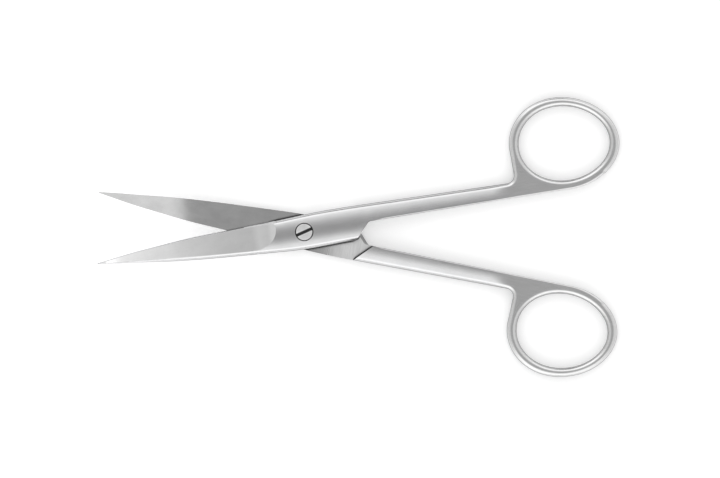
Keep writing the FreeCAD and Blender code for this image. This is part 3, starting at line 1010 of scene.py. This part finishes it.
def finishes(side, word):
    """Materials of one half, whose grain lies along or across it."""
    turn = side * HALF_OPEN
    # painted shade: satin darkens on its sides near the floor and in gaps, inner in the gap beside the other
    # half
    return {
        "satin": steel("satin_" + word, STEEL, (0.16, 0.24), turn, 6, 0.1, 0.0005, near=18,
                       gap=((0.78, 0.3), (0.94, 1.0)), beyond=(WEB, (0.2, 0.26), RING)),
        "ground": steel("ground_" + word, BRIGHT, (0.05, 0.08), turn, 5, 0.12, 0.0002, grind=ACROSS),
        "inner": steel("inner_" + word, INNER, (0.07, 0.11), turn, 4, 0.15, 0.0002, cloud=0.06, near=1.4,
                       gap=((0.64, 0.03), (0.77, 1.0)), beyond=(RIDING, (0.4, 0.58), RIDDEN), grind=ACROSS),
        "shade": shade,
        "bevel": steel("bevel_" + word, DULL, (0.2, 0.26), turn, 4, 0.12, 0.0003)}


def dress(obj, materials):
    for m in materials.values():
        obj.data.materials.append(m)
    order = list(materials)
    tags = np.zeros(len(obj.data.polygons), np.int32)
    obj.data.attributes["face"].data.foreach_get("value", tags)
    index = np.array([order.index(FINISH_OF[int(t)]) for t in tags], np.int32)
    obj.data.polygons.foreach_set("material_index", index)
    obj.data.attributes.remove(obj.data.attributes["face"])


for side, word in ((1, "thumb"), (-1, "finger")):
    name = word + "_half"
    piece = make_half(name + "_form", side)
    dress(piece, finishes(side, word))
    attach(piece, name)
    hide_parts(name)

screw = make_screw("pivot_screw_form")
screw.data.materials.append(turned)
screw.data.materials.append(shade)
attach(screw, "finger_half")
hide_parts("pivot_screw")


# Floor
FLOOR_SIZE = 6                  # metres
FLOOR_WHITE = (0.97, 0.97, 0.97, 1)
FLOOR_GLOW = 0.32


def floor_material():
    """White paper: matt, with a little of its own light where it is seen, so that it stays white."""
    m, nodes, links = new_material("floor")
    out = add(nodes, "OutputMaterial")
    both = add(nodes, "AddShader")
    matt = add(nodes, "BsdfDiffuse")
    glow = add(nodes, "Emission")
    path = add(nodes, "LightPath")
    seen = work_out(nodes, links, "MAXIMUM", path.outputs["Is Camera Ray"], path.outputs["Is Glossy Ray"])
    matt.inputs["Color"].default_value = FLOOR_WHITE
    links.new(work_out(nodes, links, "MULTIPLY", seen, FLOOR_GLOW), glow.inputs["Strength"])
    links.new(matt.outputs[0], both.inputs[0])
    links.new(glow.outputs[0], both.inputs[1])
    links.new(both.outputs[0], out.inputs[0])
    return m


bpy.ops.mesh.primitive_plane_add(size=FLOOR_SIZE)
floor = bpy.context.object
floor.name = "floor"
floor.data.materials.append(floor_material())

# World: tent of light with a darker gap above the object, as (direction, level) points from -1 to 1
ALONG_Y = [(-1.0, 0.5), (-0.97, 0.8), (-0.93, 1.1), (-0.85, 1.3), (-0.7, 1.33), (-0.55, 1.25),
           (-0.47, 0.95), (-0.42, 0.88), (-0.37, 1.07), (-0.33, 1.0), (-0.29, 0.82), (-0.24, 0.62),
           (-0.19, 0.5), (-0.15, 0.41), (-0.1, 0.36), (0.0, 0.33), (0.09, 0.35), (0.14, 0.385),
           (0.19, 0.44), (0.237, 0.495), (0.28, 0.575), (0.33, 0.74), (0.42, 0.87), (0.5, 0.97),
           (0.606, 1.24), (0.7, 1.3), (0.8, 1.1), (0.88, 0.65), (0.94, 0.35), (1.0, 0.2)]
SHARE_X = [(-1.0, 0.65), (-0.6, 0.9), (-0.5, 1.2), (-0.4, 1.3), (-0.2, 1.27), (-0.1, 1.1), (-0.05, 1.0),
           (0.0, 1.0), (0.05, 1.0), (0.1, 1.03), (0.2, 1.0), (0.4, 0.95), (0.6, 0.75), (1.0, 0.65)]
ALONG_X = [(-1.0, 0.72), (-0.45, 0.66), (-0.3, 0.5), (-0.22, 0.0), (0.212, 0.0), (0.238, 0.75),
           (0.33, 0.75), (0.42, 0.75), (1.0, 0.74)]
BRIGHTEST = 1.33
SKEW = 0.16                     # the edge of the bright side runs askew by this
CURVE_TOP = 2.0                 # level at the top of a curve


def levels(nodes, links, source, table):
    """Light level along a direction, straight between the points of a table."""
    curve = add(nodes, "FloatCurve")
    points = curve.mapping.curves[0].points
    while len(points) > 2:
        points.remove(points[-1])
    places = [((v + 1) / 2, level / CURVE_TOP) for v, level in table]
    points[0].location = places[0]
    points[1].location = places[-1]
    for place in places[1:-1]:
        points.new(*place)
    for point in points:
        point.handle_type = "VECTOR"
    curve.mapping.update()
    links.new(map_range(nodes, links, source, (-1, 1)), curve.inputs["Value"])
    return work_out(nodes, links, "MULTIPLY", curve.outputs[0], CURVE_TOP)


def make_world():
    w = bpy.data.worlds.new("studio")
    bpy.context.scene.world = w
    w.use_nodes = True
    nodes = w.node_tree.nodes
    links = w.node_tree.links
    nodes.clear()
    out = add(nodes, "OutputWorld")
    back = add(nodes, "Background")
    coord = add(nodes, "TexCoord")
    split = add(nodes, "SeparateXYZ")
    links.new(coord.outputs["Generated"], split.inputs[0])
    x = split.outputs["X"]
    y = split.outputs["Y"]
    lines = levels(nodes, links, y, ALONG_Y)
    tent = work_out(nodes, links, "MULTIPLY", lines, levels(nodes, links, x, SHARE_X))
    tent = work_out(nodes, links, "MINIMUM", tent, BRIGHTEST)
    askew = work_out(nodes, links, "MULTIPLY_ADD", y, SKEW, x)
    tent = work_out(nodes, links, "MAXIMUM", tent, levels(nodes, links, askew, ALONG_X))
    back.inputs["Color"].default_value = (1, 1, 1, 1)
    links.new(tent, back.inputs["Strength"])
    links.new(back.outputs[0], out.inputs[0])


make_world()

# Photograph: the camera looks straight down
PHOTO_W = 720
PHOTO_H = 478
MM_PER_PIXEL = 0.262
PIVOT_AT = (304.3, 232.0)       # pixel of the pivot axis
TILT = 1.1                      # the middle line runs down to the right by this, degrees
CAMERA_HEIGHT = 2000 * MM
SENSOR = 36                     # width of the camera's sensor


def make_camera():
    cam = bpy.data.objects.new("camera", bpy.data.cameras.new("camera"))
    bpy.context.scene.collection.objects.link(cam)
    a = math.radians(TILT)
    right = Vector((math.cos(a), math.sin(a), 0))
    up = Vector((-math.sin(a), math.cos(a), 0))
    dx = (PHOTO_W / 2 - PIVOT_AT[0]) * MM_PER_PIXEL * MM
    dy = (PIVOT_AT[1] - PHOTO_H / 2) * MM_PER_PIXEL * MM
    cam.location = right * dx + up * dy + Vector((0, 0, CAMERA_HEIGHT))
    cam.rotation_euler = (0, 0, a)
    cam.data.sensor_width = SENSOR
    cam.data.lens = SENSOR * CAMERA_HEIGHT / (PHOTO_W * MM_PER_PIXEL * MM)
    bpy.context.scene.camera = cam


make_camera()
bpy.context.scene.view_settings.view_transform = "Standard"
